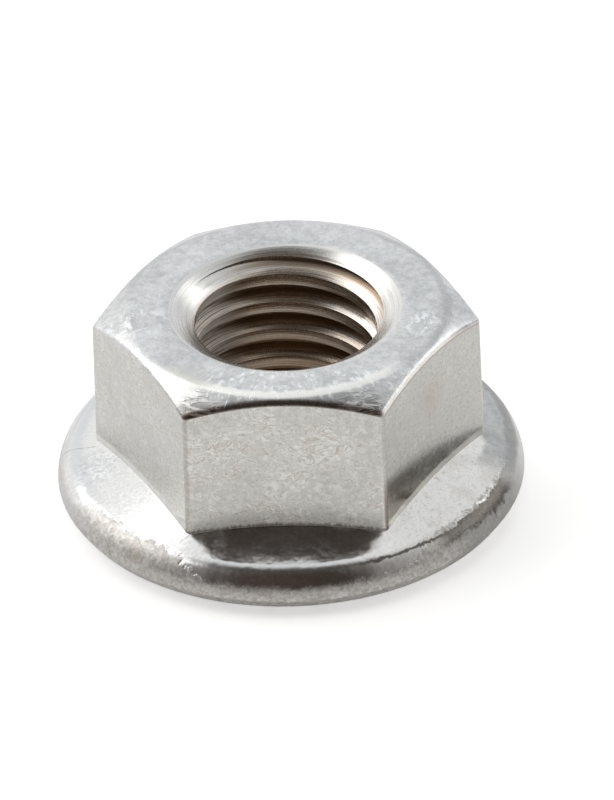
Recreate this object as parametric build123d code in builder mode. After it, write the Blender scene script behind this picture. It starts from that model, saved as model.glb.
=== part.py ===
"""Serrated hexagon flange nut with a right-hand M8 thread, cold formed and tapped in stainless steel.

One piece of metal.  The origin is the centre of the bearing face, which the nut stands on, and +Z is the
thread's axis.  Two flats of the hexagon face -Y and +Y, and two of its corners lie above the X axis.
"""

from build123d import *
from build123d.topology import SkipClean
from math import ceil, cos, hypot, radians, sin, tan
import os

# ---- driving dimensions, in millimetres and degrees ----

# internal thread
THREAD_MAJOR = 8.0  # nominal diameter, at the root of the groove
THREAD_PITCH = 1.25
THREAD_DEPTH = 0.55  # from the crests out to the root, along a radius
THREAD_FORM_ANGLE = 60.0  # between the two flanks of the groove
THREAD_START_ANGLE = 80.0  # where the groove's middle passes the bearing face, round from +X
COUNTERSINK_OVERSIZE = 0.8  # how much wider than the thread each mouth of the bore is
COUNTERSINK_ANGLE = 110.0  # included angle of both mouths

# hexagon
OVERALL_HEIGHT = 7.95
ACROSS_FLATS = 12.9  # at the foot of the flats, where they are widest
HEX_DRAFT = 1.0  # how far the flats lean in towards the top
CORNER_ROUND = 0.25  # the six upright edges
TOP_FACE_INSET = 0.42  # from the flats in to the flat ring on top
TOP_CHAMFER_ANGLE = 30.0  # fall of the chamfer outside that ring
TOP_EDGE_ROUND = 0.25  # where the chamfer runs over onto the flats

# flange
FLANGE_OVERHANG = 1.5  # how far the rim stands out past the hexagon's corners
FLANGE_SLOPE = 19.0  # fall of the flange's upper side towards its rim
RIM_THICKNESS = 1.5  # from the bearing face up to where the slope and the rim would meet
RIM_CHAMFER_WIDTH = 0.27  # lower edge of the rim, measured inwards
RIM_CHAMFER_HEIGHT = 0.4
PLAIN_RING_WIDTH = 0.48  # between that chamfer and the bearing face
PLAIN_RING_ANGLE = 26.0  # rise of the plain ring towards the rim

# serrated bearing face
TOOTH_COUNT = 30
TOOTH_DEPTH = 0.22  # at the edge of the bearing face; it lessens evenly towards the axis
TOOTH_LAND = 0.25  # share of the tooth pitch that stays flat
TOOTH_BACK_LEAN = 5.0  # lean of the steep side, which bites when the nut is turned loose
BEARING_RING_WIDTH = 0.6  # plain ring between the mouth of the bore and the teeth

# ---- worked out from them ----
root_radius = THREAD_MAJOR / 2
bore_radius = root_radius - THREAD_DEPTH
mouth_radius = root_radius + COUNTERSINK_OVERSIZE / 2
mouth_slope = 90 - COUNTERSINK_ANGLE / 2
mouth_depth = (mouth_radius - bore_radius) * tan(radians(mouth_slope))
flat_radius = ACROSS_FLATS / 2
flange_radius = flat_radius / cos(radians(30)) + FLANGE_OVERHANG
bearing_radius = flange_radius - RIM_CHAMFER_WIDTH - PLAIN_RING_WIDTH
top_face_radius = flat_radius - TOP_FACE_INSET
slope = radians(FLANGE_SLOPE)


def groove_width(radius):
    """Width of the thread groove at a radius: an eighth of the pitch at its root, wider nearer the axis."""
    return THREAD_PITCH / 8 + 2 * (root_radius - radius) * tan(radians(THREAD_FORM_ANGLE / 2))


def runs_round_hexagon(edge):
    """Whether an edge of a cone lies where the hexagon's sides cut it, and not on its seam or its rim."""
    return edge.geom_type not in (GeomType.LINE, GeomType.CIRCLE)


# ---- body: hexagon and flange ----

with BuildPart() as body:
    # hexagon, drawn in a little towards the top, its upright edges rounded by the die
    hex_start = RIM_THICKNESS / 2
    foot_height = RIM_THICKNESS + (flange_radius - flat_radius) * tan(slope)
    draft_below_foot = (foot_height - hex_start) * tan(radians(HEX_DRAFT))
    with BuildSketch(Plane.XY.offset(hex_start)):
        RegularPolygon(flat_radius + draft_below_foot, 6, major_radius=False)
    extrude(amount=OVERALL_HEIGHT - hex_start, taper=HEX_DRAFT)
    ends = body.edges().group_by(Axis.Z)[0] + body.edges().group_by(Axis.Z)[-1]
    fillet(body.edges() - ends, CORNER_ROUND)

    # flange, turned; one round runs from the chamfer under the rim up onto the slope
    ring_rise = PLAIN_RING_WIDTH * tan(radians(PLAIN_RING_ANGLE))
    ring_end = (bearing_radius + PLAIN_RING_WIDTH, ring_rise)
    round_start = (flange_radius, ring_rise + RIM_CHAMFER_HEIGHT)
    round_run = RIM_THICKNESS - ring_rise - RIM_CHAMFER_HEIGHT
    round_end = (flange_radius - round_run * cos(slope), RIM_THICKNESS + round_run * sin(slope))
    with BuildSketch(Plane.YZ):
        with BuildLine():
            Polyline((0, 0), (bearing_radius, 0), ring_end, round_start)
            TangentArc(round_start, round_end, tangent=(0, 1))
            Polyline(round_end, (0, RIM_THICKNESS + flange_radius * tan(slope)), (0, 0))
        make_face()
    revolve(axis=Axis.Z)

    # top chamfer, turned off the corners and rounded over onto the flats
    with BuildSketch(Plane.YZ):
        chamfer_width = flange_radius - top_face_radius
        with BuildLine():
            Polyline(
                (top_face_radius, OVERALL_HEIGHT),
                (flange_radius, OVERALL_HEIGHT),
                (flange_radius, OVERALL_HEIGHT - chamfer_width * tan(radians(TOP_CHAMFER_ANGLE))),
                close=True,
            )
        make_face()
    revolve(axis=Axis.Z, mode=Mode.SUBTRACT)
    chamfer_face = body.faces().filter_by(GeomType.CONE).sort_by(Axis.Z)[-1]
    fillet(chamfer_face.edges().filter_by(runs_round_hexagon), TOP_EDGE_ROUND)

# ---- threaded wall, in sectors ----
# A groove that passes right through a sector of the wall cuts it cleanly at any pitch, so the wall is made
# as three sectors, each cut by short lengths of the same groove, and joined afterwards.

SECTOR_COUNT = 3
SECTOR_ANGLE = 360 / SECTOR_COUNT
GROOVE_OVERRUN = 12  # degrees that a length of groove runs past each end of its sector

with BuildPart() as groove:
    open_radius = bore_radius - THREAD_PITCH / 8
    with BuildLine() as helix:
        Helix(THREAD_PITCH, THREAD_PITCH * (SECTOR_ANGLE + 2 * GROOVE_OVERRUN) / 360, root_radius)
    with BuildSketch(Plane.XZ):
        with BuildLine():
            Polyline(
                (root_radius, -groove_width(root_radius) / 2),
                (root_radius, groove_width(root_radius) / 2),
                (open_radius, groove_width(open_radius) / 2),
                (open_radius, -groove_width(open_radius) / 2),
                close=True,
            )
        make_face()
    sweep(path=helix.line, is_frenet=True)

wall_sectors = []
for sector in range(SECTOR_COUNT):
    with BuildPart() as wall:
        with BuildSketch(Plane.XZ.rotated((0, 0, sector * SECTOR_ANGLE))):
            with BuildLine():
                Polyline(
                    (mouth_radius, 0),
                    (mouth_radius, OVERALL_HEIGHT),
                    (bore_radius, OVERALL_HEIGHT - mouth_depth),
                    (bore_radius, mouth_depth),
                    close=True,
                )
            make_face()
        revolve(axis=Axis.Z, revolution_arc=SECTOR_ANGLE)
        start_angle = sector * SECTOR_ANGLE - GROOVE_OVERRUN
        start_height = THREAD_PITCH * (start_angle - THREAD_START_ANGLE) / 360
        for turn in range(-1, ceil(OVERALL_HEIGHT / THREAD_PITCH) + 2):
            with Locations(Location((0, 0, start_height + turn * THREAD_PITCH), (0, 0, start_angle))):
                add(groove.part, mode=Mode.SUBTRACT)
    wall_sectors.append(wall.part)

# ---- gap between two teeth ----
# Its edges run towards the origin, so it gets narrower and shallower inwards.

with BuildPart() as tooth_gap:
    gap_slope = TOOTH_DEPTH / bearing_radius
    gap_depth = gap_slope * flange_radius
    gap_width = (1 - TOOTH_LAND) * flange_radius * radians(360 / TOOTH_COUNT)
    with BuildSketch(Plane.YZ.offset(flange_radius)):
        with BuildLine():
            Polyline(
                (0, -gap_depth),
                (0, 0),
                (gap_depth * tan(radians(TOOTH_BACK_LEAN)), gap_depth),
                (gap_width, 0),
                (gap_width, -gap_depth),
                close=True,
            )
        make_face()
    gap_length = flange_radius - mouth_radius - BEARING_RING_WIDTH
    extrude(amount=gap_length * hypot(1, gap_slope), dir=(-1, 0, -gap_slope))

# ---- the nut ----

with BuildPart() as flange_nut:
    add(body.part)
    with PolarLocations(0, TOOTH_COUNT):
        add(tooth_gap.part, mode=Mode.SUBTRACT)
    with Locations((0, 0, OVERALL_HEIGHT / 2)):
        Cylinder(mouth_radius, OVERALL_HEIGHT, mode=Mode.SUBTRACT)
    # joined without merging faces, so each sector keeps its own piece of every crest
    with SkipClean():
        add(wall_sectors)

flange_nut.part.label = "flange_nut"
os.makedirs("parts", exist_ok=True)
export_step(flange_nut.part, "parts/flange_nut.step")
print("volume", round(flange_nut.part.volume, 2), "mm3, faces", len(flange_nut.faces()))
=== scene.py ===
# %% [markdown]
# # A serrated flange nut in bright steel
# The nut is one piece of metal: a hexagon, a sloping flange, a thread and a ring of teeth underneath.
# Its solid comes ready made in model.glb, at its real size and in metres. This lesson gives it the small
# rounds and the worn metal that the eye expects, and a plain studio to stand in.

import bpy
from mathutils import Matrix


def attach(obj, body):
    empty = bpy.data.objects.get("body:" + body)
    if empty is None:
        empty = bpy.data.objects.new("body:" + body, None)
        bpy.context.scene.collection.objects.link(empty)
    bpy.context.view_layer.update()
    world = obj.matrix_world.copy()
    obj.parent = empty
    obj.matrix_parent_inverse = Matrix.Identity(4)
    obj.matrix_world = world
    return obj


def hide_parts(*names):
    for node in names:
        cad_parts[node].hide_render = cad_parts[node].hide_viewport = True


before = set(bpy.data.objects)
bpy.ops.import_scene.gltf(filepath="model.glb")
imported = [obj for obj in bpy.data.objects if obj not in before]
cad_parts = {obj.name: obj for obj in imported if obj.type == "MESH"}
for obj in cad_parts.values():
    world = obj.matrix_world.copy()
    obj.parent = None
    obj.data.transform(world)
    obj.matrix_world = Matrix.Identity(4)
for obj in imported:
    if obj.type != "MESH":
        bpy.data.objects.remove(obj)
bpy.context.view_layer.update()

# %% [markdown]
# Blender counts in metres, and a nut is thought of in millimetres and degrees. Sizes are therefore written in
# millimetres and multiplied by one constant on their way into Blender.

# %% Tools and scale
from math import cos, degrees, hypot, pi, radians, sin, tan

import bmesh
import bpy
from mathutils import Matrix, Vector

MM = 0.001
print("one unit is a metre, so a millimetre is", MM)

# %% [markdown]
# The camera looks slightly down on the nut through a long lens, which keeps near and far sides almost the
# same size. Its place follows from the direction it looks in, the distance, and a small roll. A camera's own
# axes are right, up and backwards, so the three directions are simply the columns of its matrix.

# %% Camera
NUT_MIDDLE = Vector((0, 0, 4.2)) * MM
RIGHT_SHIFT, DOWN_SHIFT = 0.715 * MM, 0.445 * MM
AZIMUTH, ELEVATION, ROLL = radians(1.95), radians(33.9), radians(-2.05)
CAMERA_DISTANCE = 230 * MM
FILM_HEIGHT, FOCAL_LENGTH = 36, 272.1

backwards = Vector((sin(AZIMUTH) * cos(ELEVATION), -cos(AZIMUTH) * cos(ELEVATION), sin(ELEVATION)))
level = Vector((cos(AZIMUTH), sin(AZIMUTH), 0))
upright = backwards.cross(level)
camera_right = level * cos(ROLL) + upright * sin(ROLL)
camera_up = upright * cos(ROLL) - level * sin(ROLL)
looked_at = NUT_MIDDLE + camera_right * RIGHT_SHIFT - camera_up * DOWN_SHIFT
turned = Matrix((camera_right, camera_up, backwards)).transposed()

bpy.ops.object.camera_add(location=looked_at + backwards * CAMERA_DISTANCE, rotation=turned.to_euler())
camera = bpy.context.object
camera.name = "camera"
camera.data.sensor_fit = "VERTICAL"
camera.data.sensor_height = FILM_HEIGHT
camera.data.lens = FOCAL_LENGTH
camera.data.clip_start = 1 * MM
bpy.context.scene.camera = camera
print("the camera stands at", tuple(round(v, 4) for v in camera.location))

# %% [markdown]
# The nut's solid has the right form but sharp edges, and every real edge is a little round. It can't be
# edited itself, since it is the shape that the checks were made on, so a copy is finished in its place. The
# solid arrives as loose triangles: the copy is welded first, and the triangles on one plane are joined, so
# that only real edges are left to bevel.

# %% Weld a copy of the nut
WELD_DISTANCE = 0.001 * MM
SAME_PLANE = radians(0.6)


def select_only(piece):
    """Makes one object the selected and active one."""
    bpy.ops.object.select_all(action="DESELECT")
    piece.select_set(True)
    bpy.context.view_layer.objects.active = piece


select_only(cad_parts["flange_nut"])
bpy.ops.object.duplicate()
nut = bpy.context.object
nut.name = "flange_nut_finished"
for tag in [key for key in nut.keys() if key.startswith("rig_")]:
    del nut[tag]

bpy.ops.object.mode_set(mode="EDIT")
bpy.ops.mesh.select_all(action="SELECT")
bpy.ops.mesh.remove_doubles(threshold=WELD_DISTANCE)
bpy.ops.mesh.customdata_custom_splitnormals_clear()
bpy.ops.mesh.dissolve_limited(angle_limit=SAME_PLANE)
bpy.ops.object.mode_set(mode="OBJECT")
print("welded nut:", len(nut.data.vertices), "points,", len(nut.data.polygons), "faces")

# %% [markdown]
# A bevel turns a sharp edge into a narrow round. Blender's bevel acts on the selected edges, and here there
# is no mouse to pick them with. They are found by where they lie instead: their distance from the axis, their
# height, and how sharply their two faces meet, which is above zero on an outward edge and below it in a nook.

# %% A bevel for chosen edges
def bevel_edges(piece, name, width, segments, belongs):
    """Bevels the edges whose middle and angle belongs(radius, height, angle) accepts, in millimetres."""
    select_only(piece)
    bpy.ops.object.mode_set(mode="EDIT")
    bpy.ops.mesh.select_mode(type="EDGE")
    bpy.ops.mesh.select_all(action="DESELECT")
    mesh = bmesh.from_edit_mesh(piece.data)
    chosen = 0
    for edge in mesh.edges:
        if not edge.is_manifold:
            continue
        middle = (edge.verts[0].co + edge.verts[1].co) / 2 / MM
        if belongs(hypot(middle.x, middle.y), middle.z, degrees(edge.calc_face_angle_signed())):
            edge.select_set(True)
            chosen += 1
    bmesh.update_edit_mesh(piece.data)
    bpy.ops.mesh.bevel(
        offset_type="OFFSET", offset=width * MM, segments=segments, profile=0.5, clamp_overlap=True,
        loop_slide=True,
    )
    bpy.ops.object.mode_set(mode="OBJECT")
    print(f"{name}: {chosen} edges beveled by {width} mm, {len(piece.data.polygons)} faces in all")


print("bevel ready")

# %% [markdown]
# The die leaves the hexagon's foot and the rim with a firm round. The punch and the countersink leave softer
# ones on the top, and the tap's crests and the teeth stay keen. So each kind of edge gets its own width.

# %% Round the edges
HEX_TOP = 7.95
TOP_RING_RADIUS = 6.03  # where the flat ring on top ends and its chamfer begins
MOUTH_RADIUS = 4.4  # the wide end of each countersink


def on_top_at(circle):
    """Accepts the edges of the top face that lie on a circle."""
    return lambda r, z, a: abs(r - circle) < 0.1 and z > HEX_TOP - 0.05 and a > 20


bevel_edges(nut, "hexagon's foot", 0.1, 3, lambda r, z, a: 6.3 < r < 7.7 and 2.0 < z < 2.6 and a < -30)
bevel_edges(nut, "outer edge of the top", 0.2, 4, on_top_at(TOP_RING_RADIUS))
bevel_edges(nut, "upper mouth of the bore", 0.2, 4, on_top_at(MOUTH_RADIUS))
bevel_edges(nut, "lower edge of the rim", 0.1, 3, lambda r, z, a: r > 8.55 and z < 0.7 and a > 12)
bevel_edges(nut, "thread's crests", 0.05, 2, lambda r, z, a: r < 3.5 and 0.4 < z < 7.5 and a > 35)
bevel_edges(nut, "teeth", 0.03, 2, lambda r, z, a: 4.2 < r < 8.4 and z < 0.3 and a > 12)

# %% [markdown]
# The rounds have only a few faces across, so they are shaded smooth, while the flats have to stay flat.
# Weighted normals do both: at a corner, the larger face decides which way the surface seems to look. At the
# end the solid is hidden, and the copy is attached to the root body in its place.

# %% Smooth shading
SMOOTH_BELOW = radians(35)
FACE_WEIGHT = 60

select_only(nut)
bpy.ops.object.shade_smooth_by_angle(angle=SMOOTH_BELOW)
bpy.ops.object.modifier_add(type="WEIGHTED_NORMAL")
nut.modifiers[-1].keep_sharp = True
nut.modifiers[-1].weight = FACE_WEIGHT
bpy.ops.object.modifier_apply(modifier=nut.modifiers[-1].name)
print("finished nut:", len(nut.data.vertices), "points")

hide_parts("flange_nut")
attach(nut, "root")

# %% [markdown]
# A finish is a tree of nodes, and a large tree is easier to read as arithmetic. A small class stands for an
# output of a node: adding or multiplying two of them adds the Math node that does it. Two more words come up
# all the time: a value can rise or fall smoothly between two limits, which makes a soft-edged mask.

# %% Values of a shader
class Value:
    """An output of a node. Arithmetic on it adds Math nodes to the same tree."""

    def __init__(self, tree, socket):
        self.tree = tree
        self.socket = socket

    def math(self, operation, *others):
        return self.tree.add("ShaderNodeMath", {"operation": operation}, [self, *others])["Value"]

    def __add__(self, other):
        return self.math("ADD", other)

    def __sub__(self, other):
        return self.math("SUBTRACT", other)

    def __mul__(self, other):
        return self.math("MULTIPLY", other)

    def __pow__(self, other):
        return self.math("POWER", other)

    def __mod__(self, other):
        return self.math("FLOORED_MODULO", other)

    def __abs__(self):
        return self.math("ABSOLUTE")

    def __rsub__(self, other):
        return self.tree.number(other).math("SUBTRACT", self)

    def __rpow__(self, other):
        return self.tree.number(other).math("POWER", self)

    def __rmod__(self, other):
        return self.tree.number(other).math("FLOORED_MODULO", self)

    __radd__ = __add__
    __rmul__ = __mul__

    def rise(self, low, high, start=0.0, end=1.0):
        """Goes smoothly from start to end while the value runs from low to high."""
        limits = [self, low, high, start, end]
        return self.tree.add("ShaderNodeMapRange", {"interpolation_type": "SMOOTHSTEP"}, limits)["Result"]

    def fall(self, low, high, start=1.0, end=0.0):
        """Goes smoothly down from start to end while the value runs from low to high."""
        return self.rise(low, high, start, end)

    def band(self, low, full, still, gone):
        """0 up to low, 1 from full to still, and 0 again from gone on."""
        return self.rise(low, full) * self.fall(still, gone)


print("values ready")

# %% [markdown]
# Every other node comes from one method, which takes the node's type, its settings, and what goes into its
# sockets: a number, a colour, or a value from another node. Noise and the blend of two colours are used often
# enough to have a name of their own.

# %% Nodes of a shader
def colour(value):
    """A colour as a socket takes it."""
    return value if isinstance(value, Value) else (*value, 1)


class Outputs:
    """The outputs of one node by name."""

    def __init__(self, tree, node):
        self.tree = tree
        self.node = node

    def __getitem__(self, name):
        return Value(self.tree, self.node.outputs[name])


class Shader:
    """Builds the node tree of a material or of the world."""

    def __init__(self, owner):
        owner.use_nodes = True
        self.nodes = owner.node_tree.nodes
        self.links = owner.node_tree.links
        self.nodes.clear()

    def add(self, kind, settings=None, inputs=None):
        """Adds a node: its settings are set first, then the values or links of its sockets."""
        node = self.nodes.new(kind)
        for name, value in (settings or {}).items():
            if name == "stops":
                self.set_stops(node.color_ramp.elements, value)
            else:
                setattr(node, name, value)
        pairs = inputs.items() if isinstance(inputs, dict) else enumerate(inputs or [])
        for name, value in pairs:
            if isinstance(value, Value):
                self.links.new(value.socket, node.inputs[name])
            else:
                node.inputs[name].default_value = value
        return Outputs(self, node)

    def set_stops(self, elements, stops):
        """Gives a colour ramp its stops. A new ramp already holds two."""
        for place, (position, tint) in enumerate(stops):
            if place > 1:
                elements.new(position)
            elements[place].position = position
            elements[place].color = colour(tint)

    def number(self, value):
        made = self.add("ShaderNodeValue")
        made.node.outputs[0].default_value = value
        return made["Value"]

    def noise(self, vector, scale, detail=2.0, roughness=0.5, distortion=0.0):
        """Cloudy noise from 0 to 1, mostly near a half."""
        sizes = {"Scale": scale, "Detail": detail, "Roughness": roughness, "Distortion": distortion}
        return self.add("ShaderNodeTexNoise", None, {"Vector": vector, **sizes})["Fac"]

    def blend(self, amount, low, high):
        """A colour that goes from low to high as amount goes from 0 to 1."""
        ends = {0: amount, 6: colour(low), 7: colour(high)}
        made = self.add("ShaderNodeMix", {"data_type": "RGBA", "blend_type": "MIX"}, ends)
        return Value(self, made.node.outputs[2])


print("nodes ready")

# %% [markdown]
# A metal has almost no colour of its own: it looks like what surrounds it. The studio is therefore part of the
# finish. Its wall is a ramp of tones round the nut: pale behind, brightest at the back left, and dark in front,
# where the room behind the camera is. Lamps and boards could do it too, but the world surrounds the nut
# without a gap and needs no meshes.

# %% Walls and ceiling of the studio
WALL = [
    (0.0, (0.62, 0.62, 0.61)),  # left
    (0.08, (0.34, 0.33, 0.32)),
    (0.17, (0.115, 0.092, 0.08)),
    (0.33, (0.08, 0.064, 0.054)),  # front, on both sides of 0.25
    (0.43, (0.42, 0.41, 0.4)),
    (0.5, (0.62, 0.62, 0.61)),  # right
    (0.57, (0.78, 0.79, 0.8)),
    (0.75, (0.97, 0.99, 1.0)),  # back
    (0.85, (1.2, 1.2, 1.18)),
    (0.92, (1.15, 1.15, 1.12)),
    (1.0, (0.62, 0.62, 0.61)),
]
DARK_CEILING, WHITE_CEILING = (0.12, 0.11, 0.1), (0.92, 0.93, 0.94)

world = bpy.data.worlds.new("studio")
bpy.context.scene.world = world
studio = Shader(world)
direction = studio.add("ShaderNodeTexCoord")["Generated"]
split = studio.add("ShaderNodeSeparateXYZ", None, [direction])
to_right, to_back, upwards = split["X"], split["Y"], split["Z"]
turn = to_back.math("ARCTAN2", to_right) * (0.5 / pi) + 0.5
wall = studio.add("ShaderNodeValToRGB", {"stops": WALL}, [turn])["Color"]
ceiling = studio.blend(to_back.rise(-0.12, 0.12), DARK_CEILING, WHITE_CEILING)
room = studio.blend(upwards.rise(0.86, 0.97), wall, ceiling)
print("the wall has", len(WALL), "tones")

# %% [markdown]
# Two shapes in the room make the crisp contrasts on the right: a window that the hexagon and the thread
# reflect, and a dark gap below it that draws a line on the slope of the flange. To the camera the world is
# plain white, so that the background stays clean whatever the metal sees.

# %% Window, gap and white background
GAP, WINDOW, BACKGROUND = (0.05, 0.045, 0.04), (2.2, 2.2, 2.15), (1, 1, 1)

gap = turn.band(0.5, 0.53, 0.57, 0.6) * upwards.fall(0.28, 0.34, 0.85)
room = studio.blend(gap, room, GAP)
window = turn.band(0.48, 0.5, 0.61, 0.64) * upwards.rise(0.26, 0.32) * upwards.fall(0.58, 0.65)
room = studio.blend(window, room, WINDOW)
to_camera = studio.add("ShaderNodeLightPath")["Is Camera Ray"]
light = studio.add(
    "ShaderNodeBackground", None, {"Color": studio.blend(to_camera, room, BACKGROUND), "Strength": 1.0}
)
studio.add("ShaderNodeOutputWorld", None, {"Surface": light["Background"]})
print("the studio has", len(studio.nodes), "nodes")

# %% [markdown]
# The nut stands on white paper. Lit paper alone would look grey, so it glows a little, mostly to the camera,
# and less in the metal and in glass. The glow is even, which leaves only the nut's soft shadow to be seen.

# %% White floor
FLOOR_SIZE = 1.6
PAPER, GLOW = (0.86, 0.86, 0.86), (1, 1, 1)
TO_CAMERA, TO_METAL, TO_GLASS = 0.5, 0.28, 0.1

bpy.ops.mesh.primitive_plane_add(size=FLOOR_SIZE, location=(0, 0, 0))
floor = bpy.context.object
floor.name = "floor"
white_paper = bpy.data.materials.new("white_paper")
floor.data.materials.append(white_paper)
paper = Shader(white_paper)
matt = paper.add("ShaderNodeBsdfDiffuse", None, {"Color": colour(PAPER)})
rays = paper.add("ShaderNodeLightPath")
seen = rays["Is Camera Ray"] * TO_CAMERA + rays["Is Glossy Ray"] * TO_METAL
seen = seen + rays["Is Transmission Ray"] * TO_GLASS
glow = paper.add("ShaderNodeEmission", None, {"Color": colour(GLOW), "Strength": seen})
lit_paper = paper.add("ShaderNodeAddShader", None, [matt["BSDF"], glow["Emission"]])
paper.add("ShaderNodeOutputMaterial", None, {"Surface": lit_paper["Shader"]})
print("the floor is", FLOOR_SIZE, "metres wide")

# %% [markdown]
# One soft box, above and to the left, gives the shadow its direction and the left rim its shine. It is weak,
# because most of the light comes from the room.

# %% Soft box
BOX_PLACE = Vector((-0.55, 0.15, 0.5))
BOX_SIZE, BOX_WATTS = 0.6, 1.7

towards_nut = (-BOX_PLACE).to_track_quat("-Z", "Y").to_euler()
bpy.ops.object.light_add(type="AREA", location=BOX_PLACE, rotation=towards_nut)
soft_box = bpy.context.object
soft_box.name = "key_soft_box"
soft_box.data.shape = "RECTANGLE"
soft_box.data.size = soft_box.data.size_y = BOX_SIZE
soft_box.data.energy = BOX_WATTS
print("the soft box hangs", round(BOX_PLACE.length, 2), "metres from the nut")

# %% [markdown]
# The metal is cold formed stainless steel that has been tumbled in a barrel with thousands of other nuts. It
# is one metal, but each region was touched by a different tool: the hexagon slid along a die, the flange was
# squeezed against its punch, its rim bulged out freely and stayed rough, and the thread was cut by a tap.
# Each finish is worked out from the place on the nut: the distance from the axis, the height and the angle,
# with noise for whatever has no pattern. Such a finish is as sharp close up as from afar, but its layers of
# painted light and shade suit only this studio.
# It grows in layers: each mask says where a layer lies, and each layer is a tint over what was there.

# %% A finish in layers
class Finish(Shader):
    """A bare metal whose colour changes from place to place, measured in millimetres and degrees."""

    def __init__(self, name):
        self.material = bpy.data.materials.new(name)
        super().__init__(self.material)
        metres = self.add("ShaderNodeTexCoord")["Object"]
        scaled = self.add("ShaderNodeVectorMath", {"operation": "SCALE"}, {"Vector": metres, "Scale": 1 / MM})
        self.point = scaled["Vector"]
        split = self.add("ShaderNodeSeparateXYZ", None, [self.point])
        self.x, self.y, self.z = split["X"], split["Y"], split["Z"]
        self.radius = (self.x * self.x + self.y * self.y) ** 0.5
        self.angle = self.y.math("ARCTAN2", self.x) * degrees(1)
        self.colour = None

    def stretched(self, x=1.0, y=1.0, z=1.0):
        """The point with each axis multiplied, which squeezes a pattern along it."""
        ends = {0: self.point, 1: (x, y, z)}
        return self.add("ShaderNodeVectorMath", {"operation": "MULTIPLY"}, ends)["Vector"]

    def polar(self, around, outwards, upwards):
        """Arc length at a radius of one millimetre, distance from the axis and height, each multiplied."""
        parts = [self.angle * (radians(1) * around), self.radius * outwards, self.z * upwards]
        return self.add("ShaderNodeCombineXYZ", None, parts)["Vector"]

    def near(self, place, inner, outer):
        """1 within inner millimetres of a place, 0 beyond outer."""
        ends = {0: self.point, 1: place}
        distance = self.add("ShaderNodeVectorMath", {"operation": "DISTANCE"}, ends)["Value"]
        return distance.fall(inner, outer)

    def aside(self, direction):
        """How many degrees the point lies to either side of a direction."""
        return abs(self.angle - direction)

    def lay(self, amount, tint):
        """Lays a tint over the colour so far, as thickly as amount says from 0 to 1."""
        self.colour = self.blend(amount, self.colour, tint)

    def close(self, roughness, height):
        """Ends the tree in a bare metal, whose height in millimetres becomes its bumps."""
        bump = self.add("ShaderNodeBump", None, {"Strength": 1.0, "Distance": MM, "Height": height})
        looks = {"Base Color": self.colour, "Metallic": 1.0, "Roughness": roughness, "Normal": bump["Normal"]}
        metal = self.add("ShaderNodeBsdfPrincipled", None, looks)
        self.add("ShaderNodeOutputMaterial", None, {"Surface": metal["BSDF"]})
        print(self.material.name, "is ready with", len(self.nodes), "nodes")

    def tell(self, layer):
        print(f"{self.material.name}: {layer}, {len(self.nodes)} nodes so far")


print("finishes can be laid")

# %% [markdown]
# The hexagon's flats were drawn through a die and then tumbled, and its top was struck by the punch. Both
# need the same noises, fine and coarse, and a measure that tells them apart: the height over the top face
# and its chamfer, which is zero on both and falls below zero on the flats.

# %% Hexagon: noises and regions
TOP_SLOPE = tan(radians(30))
FRONT = -90.0  # the direction of the flat that faces the camera, round from +X
RIGHT = -30.0  # and of the one to its right

hexagon = Finish("drawn_steel")
grain = hexagon.noise(hexagon.point, 9.0, 3.0)
blotches = hexagon.noise(hexagon.point, 3.6, 4.0, 0.6, 0.4)
traces = hexagon.noise(hexagon.stretched(z=1.5), 2.1, 4.0, 0.58, 1.1)
clouds = hexagon.noise(hexagon.point, 0.55, 3.0)
past_ring = (hexagon.radius - TOP_RING_RADIUS).math("MAXIMUM", 0.0)
over_top = hexagon.z - HEX_TOP + past_ring * TOP_SLOPE
top = over_top.rise(-0.14, -0.04)
near_side = hexagon.y.fall(-4.6, -4.2)
hexagon.tell("regions")

# %% [markdown]
# The flats are a calm grey, warmer where the die's oil has burnt on, with thin brown traces that follow the
# middle line of a noise: the absolute distance from a half makes a thread out of a cloud. The top is a cooler
# grey, because the punch struck it bare.

# %% Hexagon: drawn flats and struck top
DRAWN_DARK, DRAWN_LIGHT = (0.48, 0.465, 0.435), (0.76, 0.76, 0.735)
STRUCK_DARK, STRUCK_LIGHT = (0.47, 0.475, 0.48), (0.72, 0.725, 0.73)
BROWN_TRACE = (0.34, 0.265, 0.205)

tone = grain.rise(0.33, 0.67) * 0.24 + blotches.rise(0.34, 0.66) * 0.46 + clouds.rise(0.35, 0.65) * 0.3
strength = hexagon.aside(FRONT).fall(28.0, 32.0, 1.0, 0.65)
flat = hexagon.blend((tone - 0.5) * strength + 0.5, DRAWN_DARK, DRAWN_LIGHT)
brown = abs(traces - 0.5).fall(0.0, 0.055) * (blotches + (clouds - 0.5) * 0.6).rise(0.44, 0.6, 0.12) * strength
flat = hexagon.blend(brown * 0.62, flat, BROWN_TRACE)
hexagon.colour = hexagon.blend(top, flat, hexagon.blend(tone, STRUCK_DARK, STRUCK_LIGHT))
hexagon.tell("flats and top")

# %% [markdown]
# The punch left short bright strokes on the near part of the top, which point to the axis, and small dull dips
# between them. Other nuts scratched both side corners in the barrel. Polar coordinates make the strokes: the
# noise is squeezed round the axis and left long outwards.

# %% Hexagon: strokes, scuffs and dips on the top
BRIGHT_STROKE, DULL_DIP = (0.9, 0.92, 0.95), (0.42, 0.43, 0.45)

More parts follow.
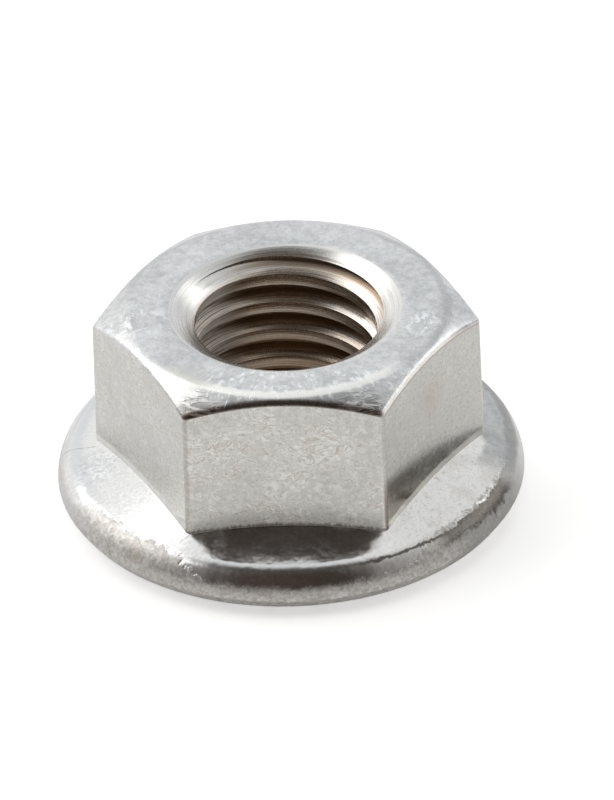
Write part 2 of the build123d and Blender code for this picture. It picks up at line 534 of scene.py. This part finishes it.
strokes = hexagon.noise(hexagon.polar(30.0, 1.1, 0.0), 1.0, 3.0, 0.65)
strokes = strokes.rise(0.5, 0.6) * blotches.rise(0.4, 0.6) * top * near_side
scratches = hexagon.noise(hexagon.stretched(2.4, 1.5, 0.0), 1.0, 3.0, 0.7, 0.6)
side_corners = hexagon.near((-5.6, -0.85, 7.9), 0.4, 1.7) + hexagon.near((5.3, -1.4, 7.9), 0.3, 1.3)
scuffs = scratches.rise(0.5, 0.62) * side_corners * hexagon.z.rise(7.2, 7.5)
hexagon.lay((strokes * 0.75 + scuffs * 0.8).math("MINIMUM", 1.0), BRIGHT_STROKE)

dips = hexagon.noise(hexagon.polar(30.0, 1.1, 3.0), 1.0, 3.0, 0.65).fall(0.36, 0.44) * top * near_side
hexagon.lay(dips * 0.3, DULL_DIP)
hexagon.tell("marks on the top")

# %% [markdown]
# Where the flat ring bends into its chamfer, the bend is painted as it mirrors the room: a grey line of painted
# shade on the far side, and an ivory painted highlight at the front. One patch beside the left corner is
# painted darker, with painted shade that tones down its glare.

# %% Hexagon: edge of the top
BEND_SHADE, BEND_HIGHLIGHT, GLARE_SHADE = (0.38, 0.38, 0.39), (0.9, 0.89, 0.85), (0.56, 0.555, 0.53)

back_left = hexagon.angle.band(105.0, 135.0, 165.0, 178.0)
right_side = hexagon.angle.band(-32.0, -20.0, 50.0, 75.0)
# painted shade: a grey line along the bend, at the back left and on the right
bend_shade = abs(hexagon.radius - 6.08 + (clouds - 0.5) * 0.5).fall(0.05, 0.28)
bend_shade = bend_shade * (back_left + right_side) * hexagon.z.rise(7.6, 7.75)
hexagon.lay(bend_shade * 0.5, BEND_SHADE)

# painted highlight: an ivory edge along the front of the bend
bend_highlight = (hexagon.radius + (blotches - 0.5) * 0.3).rise(5.7, 5.9) * hexagon.radius.fall(6.1, 6.2)
bend_highlight = bend_highlight * hexagon.aside(FRONT).fall(36.0, 50.0) * top
hexagon.lay(bend_highlight * 0.8, BEND_HIGHLIGHT)
# painted shade over the glare beside the left corner
hexagon.lay(hexagon.near((-3.9, -5.2, 7.75), 0.6, 1.6) * top * 0.8, GLARE_SHADE)
hexagon.tell("edge of the top")

# %% [markdown]
# The two front corners of the chamfer took the hardest knocks and are chipped bright where another nut hit
# them. Their dark tone is painted shade, darker further down, where the chamfer has turned away from the light.

# %% Hexagon: knocked corners and their painted shade
CORNER_SHADE_GREY, CORNER_SHADE_DARK, CHIP = (0.36, 0.36, 0.355), (0.15, 0.14, 0.13), (0.82, 0.82, 0.82)

chamfer = over_top.rise(-0.14, -0.06) * hexagon.radius.rise(6.1, 6.25)
chips = hexagon.noise(hexagon.stretched(0.55, 1.5, 4.0), 2.2, 2.5, 0.55, 0.9)
corner_wear_and_shade = hexagon.near((-3.15, -6.15, 7.55), 0.5, 1.1) + hexagon.near((2.9, -6.2, 7.55), 0.5, 1.15)
corner_wear_and_shade = corner_wear_and_shade.math("MINIMUM", 1.0) * chamfer
knocked = chips.rise(0.46, 0.62) * corner_wear_and_shade * over_top.rise(-0.12, -0.02)
low = hexagon.z.fall(7.35, 7.75)
# painted shade on the front corners, darker lower down
hexagon.lay(corner_wear_and_shade * (0.45 + low * 0.4), hexagon.blend(low, CORNER_SHADE_GREY, CORNER_SHADE_DARK))
hexagon.lay(knocked * 0.7, CHIP)
hexagon.tell("knocked corners")

# %% [markdown]
# An upright edge is found by its distance along the arc: the hexagon repeats every 60 degrees, so a remainder
# folds all six edges into one. The two at the front are brown, and the edge over the front flat has a brow of
# painted shade, where the round turns to the dark room.

# %% Hexagon: upright edges and brow
EDGE_BROWN, BROW_SHADE = (0.26, 0.215, 0.18), (0.15, 0.115, 0.09)

from_edge = abs((hexagon.angle + 30.0) % 60.0 - 30.0) * hexagon.radius * radians(1)
left_edge = hexagon.angle.band(-124.0, -116.0, -116.0, -112.0)
right_edge = hexagon.angle.band(-60.6, -59.9, -57.5, -56.5)
line = from_edge.fall(0.05, 0.15) * left_edge * traces.rise(0.35, 0.5, 0.5)
wide_line = from_edge.fall(0.12, 0.24) * right_edge * hexagon.z.fall(3.0, 4.8, 1.0, 0.3)
hexagon.lay((line * 0.75 + wide_line * 0.85) * (1 - top), EDGE_BROWN)

# painted shade: the dark brow over the front flat
brow_shade = hexagon.y.fall(-6.26, -6.12) * over_top.rise(-0.13, -0.1)
hexagon.lay(brow_shade * 0.8, BROW_SHADE)
hexagon.tell("edges")

# %% [markdown]
# The right flat sees the dark room at a slant, so it is painted greyer with painted shade. It is also grainier,
# with one brown cloud, and painted shade darkens it towards its foot, where the flange takes the last light
# away. The foot of the front flat gets a dark line of painted shade in the nook. The height over the flange's
# slope is worked out first: the foot of every flat follows it.

# %% Hexagon: front foot and right flat
RIM_RADIUS, RIM_HEIGHT = 8.95, 1.5
FLANGE_SLOPE = tan(radians(19))
FRONT_FOOT_SHADE, SLANT_SHADE, SLANT_GRAIN = (0.1, 0.085, 0.07), (0.43, 0.42, 0.385), (0.36, 0.35, 0.32)
BROWN_CLOUD, RIGHT_FOOT_SHADE = (0.42, 0.31, 0.23), (0.12, 0.105, 0.09)

brushed = hexagon.noise(hexagon.stretched(9.0, 9.0, 1.0), 1.0, 2.0)
over_foot = hexagon.z - RIM_HEIGHT - (RIM_RADIUS - hexagon.radius) * FLANGE_SLOPE
# painted shade: a dark line along the foot of the front flat
hexagon.lay((over_foot + brushed * 0.25).fall(0.14, 0.32) * hexagon.y.fall(-6.1, -6.0) * 0.8, FRONT_FOOT_SHADE)

on_right = hexagon.aside(RIGHT).fall(28.0, 30.5)
right_flat = on_right * (1 - top)
# painted shade: the right flat is greyer
hexagon.lay(right_flat * 0.35, SLANT_SHADE)
hexagon.lay(right_flat * grain.rise(0.5, 0.66) * 0.5, SLANT_GRAIN)
cloud = hexagon.near((5.5, -3.3, 5.9), 0.2, 1.3) * blotches.rise(0.4, 0.6, 0.2)
hexagon.lay(cloud * right_flat * 0.4, BROWN_CLOUD)
# painted shade towards the foot of the right flat
right_foot_shade = right_flat * (over_foot + hexagon.y * 0.37 + (blotches - 0.5) * 0.5).fall(-0.6, 0.1)
hexagon.lay(right_foot_shade * hexagon.y.fall(-5.6, -3.6, 0.85, 0.35), RIGHT_FOOT_SHADE)
hexagon.tell("foot and right flat")

# %% [markdown]
# Two painted white lines finish the hexagon: a painted reflection of the bright flange along the foot of the
# side flats, and a painted highlight where the lip over the right flat catches the window, with a brown line
# under it.

# %% Hexagon: painted reflection at the foot and painted highlight on the lip
FOOT_REFLECTION_WHITE, FOOT_REFLECTION_GREY = (0.93, 0.925, 0.91), (0.75, 0.74, 0.7)
LIP_HIGHLIGHT, UNDER_LIP_LINE = (0.97, 0.96, 0.94), (0.4, 0.3, 0.22)

side_flats = hexagon.aside(FRONT).rise(30.5, 32.0) * (1 - top)
# painted reflection of the flange along the foot of the side flats
foot_reflection = side_flats * (over_foot + (brushed - 0.5) * 0.15).fall(0.2, 0.36)
hexagon.lay(foot_reflection * 0.8, hexagon.blend(right_flat, FOOT_REFLECTION_WHITE, FOOT_REFLECTION_GREY))
# painted highlight on the lip over the right flat
lip_highlight = on_right * over_top.band(-0.13, -0.1, -0.012, -0.004)
lip_highlight = lip_highlight * hexagon.radius.rise(6.15, 6.25) * hexagon.angle.fall(-24.0, -6.0)
hexagon.lay(lip_highlight, LIP_HIGHLIGHT)
hexagon.lay(on_right * over_top.band(-0.19, -0.16, -0.13, -0.1) * 0.6, UNDER_LIP_LINE)
hexagon.tell("white lines")

# %% [markdown]
# Roughness and height close the finish. The tumbled grain is rough and uneven, the strokes are polished, and
# the chips are raised burrs. The heights are a hundredth of a millimetre or so, and a metal shows them all.

# %% Hexagon: roughness and height
roughness = 0.29 - right_flat * 0.1 + (grain - 0.5) * 0.25 + (traces - 0.5) * 0.2 + (foot_reflection + lip_highlight) * 0.25
roughness = roughness + chamfer * hexagon.aside(FRONT).fall(26.0, 30.0) * 0.11 * (1 - brow_shade)
roughness = roughness + knocked * 0.15 - strokes * 0.1
height = grain * 0.0016 + traces * 0.0015 + clouds * 0.006
height = height + strokes * 0.003 + knocked * 0.012 + scuffs * 0.004
hexagon.close(roughness, height)

# %% [markdown]
# The flange's slope was pressed by the punch and is the smoothest part. Its rim bulged out freely: it stayed
# rough and greyer, and the border between the two is ragged. The border is a radius that changes with the
# direction, further out at the front and at the left, with noise to fray it.

# %% Flange: noises and the ragged border
flange = Finish("pressed_steel")
grain = flange.noise(flange.point, 8.0, 4.0, 0.6)
ragged = flange.noise(flange.stretched(z=0.6), 1.9, 5.0, 0.68, 0.5)
clouds = flange.noise(flange.point, 0.6, 3.0)
pits = flange.noise(flange.point, 4.5, 5.0, 0.7, 0.8)

round_from_left = (flange.angle + 35.0) % 360.0
at_left = round_from_left.band(150.0, 175.0, 234.0, 250.0)
at_front = flange.aside(-85.0).fall(18.0, 40.0)
border = 8.28 + at_front * 0.9 + at_left * 0.45 + (ragged - 0.5) * (1.0 - at_left * 0.6)
underneath = (flange.z + (ragged - 0.5) * 0.5).fall(1.1, 1.3)
rim = ((flange.radius - border).rise(-0.12, 0.1) + underneath).math("MINIMUM", 1.0)
flange.tell("border")

# %% [markdown]
# Inside the border the metal is even and bright. Outside it is pitted, and the pits hold a little brown. The
# right side of the slope is painted whiter, as painted light, the right side of the rim is painted darker, as
# painted shade, and the left rim is smooth and pale.

# %% Flange: pressed slope and rough rim
PRESSED_DARK, PRESSED_LIGHT = (0.63, 0.63, 0.635), (0.72, 0.72, 0.71)
LIT_SLOPE_DARK, LIT_SLOPE_LIGHT = (0.7, 0.69, 0.67), (0.86, 0.85, 0.83)
ROUGH_DARK, ROUGH_LIGHT = (0.37, 0.342, 0.315), (0.68, 0.668, 0.65)
RIGHT_RIM_SHADE, LEFT_RIM = (0.25, 0.245, 0.235), (0.66, 0.66, 0.665)

smooth = flange.blend(grain.rise(0.3, 0.7), PRESSED_DARK, PRESSED_LIGHT)
# painted light: the right side of the slope is whiter
lit_slope = flange.blend(pits.rise(0.3, 0.7), LIT_SLOPE_DARK, LIT_SLOPE_LIGHT)
smooth = flange.blend(flange.x.rise(1.0, 4.0), smooth, lit_slope)
rough_tone = grain.rise(0.34, 0.66) * 0.4 + pits.rise(0.35, 0.65) * 0.6
rough = flange.blend(rough_tone, ROUGH_DARK, ROUGH_LIGHT)
# painted shade: the right side of the rim is darker
right_rim_shade = flange.angle.rise(-52.0, -36.0) * flange.angle.fall(-8.0, 30.0, 1.0, 0.35)
right_rim_shade = right_rim_shade * flange.angle.fall(110.0, 140.0)
rough = flange.blend(right_rim_shade * 0.55, rough, RIGHT_RIM_SHADE)
rough = flange.blend(at_left * 0.6, rough, LEFT_RIM)
flange.colour = flange.blend(rim, smooth, rough)
flange.tell("slope and rim")

# %% [markdown]
# Fine dust and dark specks lie on the slope at the right, more of them where the clouds are thick. The far
# right of it is painted dark, painted shade for the dark side of the room that it sees, the outer edge of the
# rim on the right carries a pale painted highlight, and the upper left of the rim is bluish.

# %% Flange: dust, specks, painted shade and a painted highlight
DUST, SPECK = (0.52, 0.49, 0.45), (0.4, 0.37, 0.33)
ROOM_SHADE, BLUISH, RIM_HIGHLIGHT = (0.27, 0.275, 0.285), (0.46, 0.475, 0.51), (0.88, 0.885, 0.88)

speckled = flange.angle.band(-64.0, -50.0, -2.0, 8.0) * (1 - rim)
flange.lay(speckled * (clouds + (ragged - 0.5) * 0.5).rise(0.46, 0.6) * 0.3, DUST)
specks = pits.rise(0.5, 0.62) * speckled
flange.lay(specks * 0.35 + speckled * grain.rise(0.56, 0.68) * 0.35, SPECK)

# painted shade on the far right of the slope
painted_room_shade = flange.angle.band(-20.0, -8.0, 60.0, 90.0)
painted_room_shade = painted_room_shade * (flange.radius + (clouds - 0.5) * 1.5).rise(7.2, 7.6)
painted_room_shade = painted_room_shade * (flange.radius + (clouds - 0.5) * 0.6).fall(8.45, 8.75, 1.0, 0.25)
flange.lay(painted_room_shade * (0.65 + (ragged - 0.5) * 0.9), ROOM_SHADE)
shoulder = at_left * flange.radius.band(7.7, 8.1, 8.35, 8.7)
flange.lay(shoulder * (0.2 + clouds * 0.4), BLUISH)
# painted highlight along the outer edge of the rim on the right
clear = flange.angle.band(-22.0, 0.0, 60.0, 90.0) * (flange.radius + (ragged - 0.5) * 0.3).rise(8.6, 8.8)
flange.lay(clear * 0.6, RIM_HIGHLIGHT)
flange.tell("dust and dull places")

# %% [markdown]
# Forming left a few marks that no pattern explains, so each is set where it belongs: a ruffled grey patch at
# the left, a brown stain on the front rim, and a crease that runs outwards, a little askew to the radius.

# %% Flange: ruffle, stain and crease
RUFFLE, STAIN, CREASE = (0.4, 0.41, 0.45), (0.36, 0.24, 0.15), (0.34, 0.33, 0.33)

ruffle = flange.near((-7.3, -1.9, 1.98), 0.5, 1.5) * (1 - rim) * pits.rise(0.38, 0.6)
flange.lay(ruffle * 0.5, RUFFLE)
flange.lay(flange.near((-5.8, -6.55, 1.28), 0.1, 0.55) * pits.rise(0.45, 0.6) * 0.6, STAIN)
askew = flange.angle + flange.radius * 1.5 + (clouds - 0.5) * 6.0
crease = abs(askew + 165.9).fall(0.15, 0.55) * flange.radius.rise(7.4, 7.5)
flange.lay(crease * 0.5, CREASE)
flange.tell("single marks")

# %% [markdown]
# A dark line of painted shade runs along the border at the right front, where the slope rolls over into the
# rim, and bright flecks lie along its upper side. It thins out towards the front.

# %% Flange: painted dark line at the rim's shoulder
SHOULDER_SHADE, FLECK = (0.11, 0.1, 0.09), (0.97, 0.97, 0.95)

frayed = flange.radius + (ragged - 0.5) * 0.5
sweep = flange.angle.band(-52.0, -44.0, -20.0, -14.0)
tail = flange.angle.band(-74.0, -66.0, -50.0, -44.0)
# painted shade along the rim's shoulder
painted_shade = sweep * frayed.band(8.36, 8.42, 8.72, 8.82) + tail * frayed.band(8.36, 8.4, 8.46, 8.5)
painted_shade = painted_shade.math("MINIMUM", 1.0)
flange.lay(painted_shade * 0.9, SHOULDER_SHADE)
flange.lay(sweep * frayed.band(8.24, 8.3, 8.34, 8.4) * pits.rise(0.48, 0.58) * 0.9, FLECK)
flange.tell("dark line")

# %% [markdown]
# Below the front flat the slope mirrors that flat and is nearly black. Then comes a bright edge, and the rim's
# bulge is dark once more. A bare metal does most of this by itself: the two layers are painted shade that only
# deepen it. Underneath, the teeth and their rings are plain rough metal, untouched by all the marks above.

# %% Flange: shade at the front, and the underside
SHADE, BULGE_SHADE = (0.2, 0.155, 0.12), (0.25, 0.235, 0.22)
UNDERSIDE_DARK, UNDERSIDE_LIGHT = (0.4, 0.38, 0.36), (0.69, 0.68, 0.665)

# painted shade below the front flat and on the rim's bulge
shaded = abs(flange.x - 0.1).fall(2.9, 3.5) * flange.y.fall(-6.4, -6.2)
reflected = shaded * (flange.radius + (ragged - 0.5) * 0.4).fall(7.95, 8.1)
flange.lay(reflected * (0.2 + pits * 0.6), SHADE)
bulge_shade = shaded * flange.radius.rise(8.3, 8.45) * (1 - rim)
flange.lay(bulge_shade * (0.1 + pits * 0.8), BULGE_SHADE)
beneath = flange.z.fall(0.22, 0.3)
flange.lay(beneath, flange.blend(rough_tone, UNDERSIDE_DARK, UNDERSIDE_LIGHT))
flange.tell("shade and underside")

# %% [markdown]
# The rim is rougher than the slope, and its pits are far deeper. Broad clouds of two hundredths of a
# millimetre bend the reflections a little, as in any pressed surface.

# %% Flange: roughness and height
roughness = 0.16 + rim * 0.27 + (grain - 0.5) * 0.15 + specks * 0.12 + ruffle * 0.1 - painted_shade * 0.15
height = grain * (0.001 + rim * 0.003) + pits * (rim * 0.014 + 0.001) + clouds * 0.02
height = height - crease * 0.006 + rim * 0.006 + ruffle * 0.004
height = height + flange.noise(flange.point, 1.5, 2.0) * shaded * 0.02
flange.close(roughness, height)

# %% [markdown]
# The tap turned as it went down, so its marks run along the thread like the grooves of a record. The height
# over the root of the groove gives the direction across them: it climbs by one pitch in a turn, and a
# remainder folds all the turns into one. Noise that changes quickly across and slowly along makes the lines.

# %% Thread: points along the groove
THREAD_PITCH = 1.25
THREAD_START = 80.0  # where the groove's root crosses the bearing face, round from +X

thread = Finish("tapped_steel")
climbed = thread.z - (thread.angle - THREAD_START) * (THREAD_PITCH / 360)
above_root = (climbed + THREAD_PITCH / 2) % THREAD_PITCH - THREAD_PITCH / 2
inside = thread.z.fall(7.15, 7.45)


def along_thread(density, slowly):
    """Points that change quickly across the thread and slowly along it."""
    across = (above_root * inside + thread.radius) * density + thread.z * 0.8
    return thread.add("ShaderNodeCombineXYZ", None, [thread.x * slowly, thread.y * slowly, across])["Vector"]


lines = thread.noise(along_thread(11.0, 0.22), 1.6, 3.0, 0.6)
bands = thread.noise(along_thread(3.5, 0.15), 1.3, 3.0, 0.6)
grain = thread.noise(thread.point, 9.0, 3.0)
thread.tell("lines and bands")

# %% [markdown]
# The countersink is clean, and the thread below it is stained by cutting oil. Its roots and the groove's
# run-out at the mouth are darkened by painted shade, brown with oil that has dried there. The left side has
# been wiped by a bolt and is lit from the right, so its roots stay lighter.

# %% Thread: clean mouth, and roots with oil and painted shade
CLEAN_DARK, CLEAN_LIGHT = (0.58, 0.575, 0.56), (0.72, 0.715, 0.7)
OILED_DARK, OILED_LIGHT = (0.47, 0.365, 0.265), (0.82, 0.72, 0.61)
OIL_BAND, ROOT_SHADE_AND_OIL = (0.33, 0.26, 0.195), (0.25, 0.17, 0.105)

# painted shade in the groove's run-out at the mouth
runout = thread.radius.fall(4.12, 4.16) * thread.radius.rise(3.9, 3.95)
runout = runout * thread.angle.rise(8.0, 30.0) * thread.angle.fall(112.0, 132.0)
runout = runout * above_root.rise(-0.12, -0.06) * above_root.fall(0.2, 0.26)
# painted shade in the roots, less where the left side is lit
root = thread.radius.rise(3.66, 3.86) * thread.z.fall(7.4, 7.6)
lit = thread.angle.band(112.0, 140.0, 164.0, 179.0)
painted_shade = (runout * 0.65 + root * (1 - lit * 0.75)).math("MINIMUM", 1.0)

clean = thread.blend(lines.rise(0.3, 0.7), CLEAN_DARK, CLEAN_LIGHT)
oiled = thread.blend(lines.rise(0.38, 0.62), OILED_DARK, OILED_LIGHT)
thread.colour = thread.blend(inside, clean, oiled)
thread.lay(bands.rise(0.4, 0.66, 0.0, 0.55) * inside, OIL_BAND)
thread.lay(painted_shade * 0.8, ROOT_SHADE_AND_OIL)
thread.tell("mouth and roots")

# %% [markdown]
# Light reaches only the upper turns. Further down the thread is painted darker and browner: painted shade, with
# thicker oil. The upper flanks are dry and grey, most of all at the right, and the wiped left ones are painted
# almost white along their lines: worn metal with a painted sheen.

# %% Thread: deep shade, dry and wiped places
DEEP_SHADE_AND_OIL, WIPED_SHEEN = (0.3, 0.2, 0.12), (0.96, 0.94, 0.91)
DRY_DARK, DRY_LIGHT = (0.4, 0.375, 0.345), (0.7, 0.68, 0.65)

# painted shade, with thicker oil, further down the bore
thread.lay(thread.z.fall(4.0, 6.6) * bands.rise(0.35, 0.6, 0.3, 0.7), DEEP_SHADE_AND_OIL)
at_right = thread.angle.band(-30.0, 5.0, 60.0, 90.0)
upper = thread.z.rise(2.5, 6.0) * (at_right * 0.45 + 0.25) * inside
thread.lay(upper * (1 - painted_shade), thread.blend(lines.rise(0.36, 0.6), DRY_DARK, DRY_LIGHT))
wiped_and_sheen = lit * inside
# painted sheen, almost white, on the wiped left flanks
thread.lay(wiped_and_sheen * lines.rise(0.35, 0.6), WIPED_SHEEN)
thread.tell("flanks")

# %% [markdown]
# A cut surface is scored, so the lines are in its height as well as in its colour. The wiped flanks are
# rougher, which spreads their light into a broad pale sheen.

# %% Thread: roughness and height
roughness = 0.26 + (lines - 0.5) * 0.2 + (grain - 0.5) * 0.1 + root * 0.1 + wiped_and_sheen * 0.42
height = lines * (0.004 + wiped_and_sheen * 0.006) + bands * 0.006 + grain * 0.001
thread.close(roughness, height)

# %% [markdown]
# The three finishes now go onto their faces. The nut is one mesh, so each finish gets a material slot, and the
# faces are picked by place once more, this time by the middle of their corners and by how much they look
# upwards.

# %% A finish for chosen faces
def give_finish(piece, slot, belongs):
    """Gives a material slot to the faces whose middle and normal belongs(radius, height, upwards) accepts."""
    select_only(piece)
    bpy.ops.object.mode_set(mode="EDIT")
    bpy.ops.mesh.select_mode(type="FACE")
    bpy.ops.mesh.select_all(action="DESELECT")
    mesh = bmesh.from_edit_mesh(piece.data)
    chosen = 0
    for face in mesh.faces:
        middle = sum((corner.co for corner in face.verts), Vector()) / len(face.verts) / MM
        if belongs(hypot(middle.x, middle.y), middle.z, face.normal.z):
            face.select_set(True)
            chosen += 1
    bmesh.update_edit_mesh(piece.data)
    piece.active_material_index = slot
    bpy.ops.object.material_slot_assign()
    bpy.ops.object.mode_set(mode="OBJECT")
    print(piece.data.materials[slot].name, "on", chosen, "faces")


print("finishes can be given")

# %% [markdown]
# All faces start as hexagon. The flange takes its own next, and the bore comes last, because its mouths reach
# into both. The bearing face needs a rule to itself: it is one large face with a star for an outline, so the
# middle of its corners lies near the axis and not on the flange.

# %% Put the finishes on
FOOT_TOP = 2.64  # the hexagon's foot is nowhere higher
PAST_CORNERS = 7.7  # no corner of the hexagon is further out
PAST_MOUTH, IN_MOUTH = 4.3, 4.55  # on either side of the countersink's edge
SLANTED, LEVEL = 0.2, 0.97  # how much of a face's normal is upright


def on_flange(r, z, up):
    return z < FOOT_TOP and r > PAST_MOUTH and (abs(up) > SLANTED or r > PAST_CORNERS)


nut.data.materials.clear()
for finish in (hexagon, flange, thread):
    nut.data.materials.append(finish.material)
give_finish(nut, 0, lambda r, z, up: True)
give_finish(nut, 1, on_flange)
give_finish(nut, 1, lambda r, z, up: z < 0.01 and up < -LEVEL)
give_finish(nut, 2, lambda r, z, up: r < IN_MOUTH and abs(up) < LEVEL)

# %% [markdown]
# Last, the render's tones are set to plain ones, where a colour comes out as it is written. Rounding an outer
# edge takes metal away, so the finished nut lies inside the solid's box.

# %% Close
bpy.context.scene.view_settings.view_transform = "Standard"
